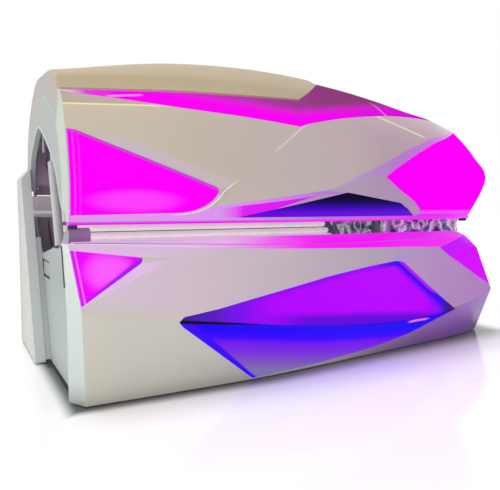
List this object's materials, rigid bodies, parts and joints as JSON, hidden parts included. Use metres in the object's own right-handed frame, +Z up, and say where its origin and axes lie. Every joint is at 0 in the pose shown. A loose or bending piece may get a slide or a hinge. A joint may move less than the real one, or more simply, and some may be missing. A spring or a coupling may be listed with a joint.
{
  "type": "clamshell tanning bed",
  "caption": "Lie-down clamshell tanning bed with a rear-hinged canopy, lamp-lined tunnel, lit front panels and lift struts.",
  "frame": {"origin": "middle of the floor rectangle under the whole bed", "axes": "+X towards the head end, the user's right when facing the front; +Y from the front to the rear; +Z up"},
  "size_m": [2.38, 1.288, 1.3933],
  "materials": {
    "frame_steel": "satin grey paint",
    "foot_rubber": "matt black",
    "white_shell": "gloss white",
    "rim_gloss": "high gloss, tinted by the lit panels",
    "mint_panel": "satin off-white",
    "roof_beige": "satin warm beige",
    "lit_magenta": "lit diffuser",
    "lit_plum": "lit diffuser, darker at the top",
    "lit_violet": "lit diffuser",
    "tray_blue": "gloss, lit by the panel above",
    "visor_dark": "dark tinted gloss",
    "clear_acrylic": "clear",
    "reflector": "mirror-bright",
    "lamp_glass": "white coated glass",
    "filter_glass": "violet filter glass",
    "trim_mauve": "satin mauve grey",
    "inlet_black": "matt black",
    "gear_steel": "zinc grey",
    "pin_steel": "bright steel",
    "sleeve_white": "white paint",
    "console_dark": "dark grey",
    "button_grey": "light grey"
  },
  "bodies": {
    "base": {"base_frame": "frame_steel", "levelling_foot_1": "foot_rubber", "levelling_foot_2": "foot_rubber", "levelling_foot_3": "foot_rubber", "levelling_foot_4": "foot_rubber", "base_front_fascia": "white_shell", "base_front_rim": "rim_gloss", "base_left_light": "lit_magenta", "base_centre_light": "lit_violet", "base_centre_tray": "tray_blue", "base_corner_light": "lit_magenta", "base_acrylic": "clear_acrylic", "base_reflector": "reflector", "base_lamp_bank": "lamp_glass", "foot_end_trim": "trim_mauve", "head_end_deck": "white_shell", "base_rear_panel": "white_shell", "mains_inlet": "inlet_black", "fan_housing": "inlet_black", "control_gear_tray": "gear_steel", "left_end_panel": "mint_panel", "left_hatch_cover": "mint_panel", "left_hinge_post": "mint_panel", "left_hinge_pin": "pin_steel", "right_end_panel": "mint_panel", "right_hatch_cover": "mint_panel", "right_hinge_post": "mint_panel", "right_hinge_pin": "pin_steel"},
    "canopy": {"canopy_frame": "frame_steel", "canopy_front_panel": "white_shell", "canopy_roof_cover": "roof_beige", "canopy_top_light": "lit_plum", "canopy_left_light": "lit_magenta", "canopy_nose_light": "lit_magenta", "canopy_glow_strip": "lit_magenta", "canopy_visor": "visor_dark", "canopy_lower_rim": "rim_gloss", "canopy_left_end_cap": "mint_panel", "canopy_right_end_cap": "mint_panel", "canopy_rear_panel": "white_shell", "canopy_acrylic": "clear_acrylic", "canopy_reflector": "reflector", "canopy_lamp_bank": "lamp_glass", "head_end_liner": "white_shell", "face_filter": "filter_glass", "face_lamp_1": "lamp_glass", "face_lamp_2": "lamp_glass", "face_lamp_hood": "reflector", "head_console": "console_dark", "left_corner_buffer": "foot_rubber", "right_corner_buffer": "foot_rubber"},
    "left_sleeve": {"left_strut_sleeve": "sleeve_white"},
    "right_sleeve": {"right_strut_sleeve": "sleeve_white"},
    "left_rod": {"left_strut_rod": "pin_steel"},
    "right_rod": {"right_strut_rod": "pin_steel"},
    "fan": {"fan_rotor": "inlet_black"},
    "button_1": {"console_button_1": "button_grey"},
    "button_2": {"console_button_2": "button_grey"},
    "button_3": {"console_button_3": "button_grey"},
    "nozzle": {"air_nozzle": "console_dark"}
  },
  "joints": [
    {"name": "canopy_hinge", "type": "hinge", "parent": "base", "child": "canopy", "pos_m": [0, 0.47, 0.8], "axis": [-1, 0, 0], "range_deg": [0, 40]},
    {"name": "left_sleeve_pivot", "type": "hinge", "parent": "base", "child": "left_sleeve", "pos_m": [-1.083, -0.045, 0.51], "axis": [-1, 0, 0], "range_deg": [0, 8.6]},
    {"name": "left_rod_pivot", "type": "hinge", "parent": "canopy", "child": "left_rod", "pos_m": [-1.083, 0.14, 0.98], "axis": [1, 0, 0], "range_deg": [0, 31.8]},
    {"name": "right_sleeve_pivot", "type": "hinge", "parent": "base", "child": "right_sleeve", "pos_m": [1.083, -0.045, 0.51], "axis": [-1, 0, 0], "range_deg": [0, 8.6]},
    {"name": "right_rod_pivot", "type": "hinge", "parent": "canopy", "child": "right_rod", "pos_m": [1.083, 0.14, 0.98], "axis": [1, 0, 0], "range_deg": [0, 31.8]},
    {"name": "fan_spin", "type": "hinge", "parent": "base", "child": "fan", "pos_m": [-0.1048, 0.0387, 0.09], "axis": [0, 0, 1], "continuous": true},
    {"name": "button_1_press", "type": "slide", "parent": "canopy", "child": "button_1", "axis": [0, 0, 1], "range_m": [0, 0.002], "stiffness_N_per_m": 300, "springref_m": -0.002},
    {"name": "button_2_press", "type": "slide", "parent": "canopy", "child": "button_2", "axis": [0, 0, 1], "range_m": [0, 0.002], "stiffness_N_per_m": 300, "springref_m": -0.002},
    {"name": "button_3_press", "type": "slide", "parent": "canopy", "child": "button_3", "axis": [0, 0, 1], "range_m": [0, 0.002], "stiffness_N_per_m": 300, "springref_m": -0.002},
    {"name": "nozzle_tilt", "type": "hinge", "parent": "canopy", "child": "nozzle", "pos_m": [1.024, 0.0133, 0.9618], "axis": [1, 0, 0], "range_deg": [-20, 20]}
  ],
  "couplings": [
    {"joint": "left_sleeve_pivot", "follows": "canopy_hinge", "ratio": 0.211},
    {"joint": "left_rod_pivot", "follows": "canopy_hinge", "ratio": 0.789},
    {"joint": "right_sleeve_pivot", "follows": "canopy_hinge", "ratio": 0.211},
    {"joint": "right_rod_pivot", "follows": "canopy_hinge", "ratio": 0.789}
  ]
}
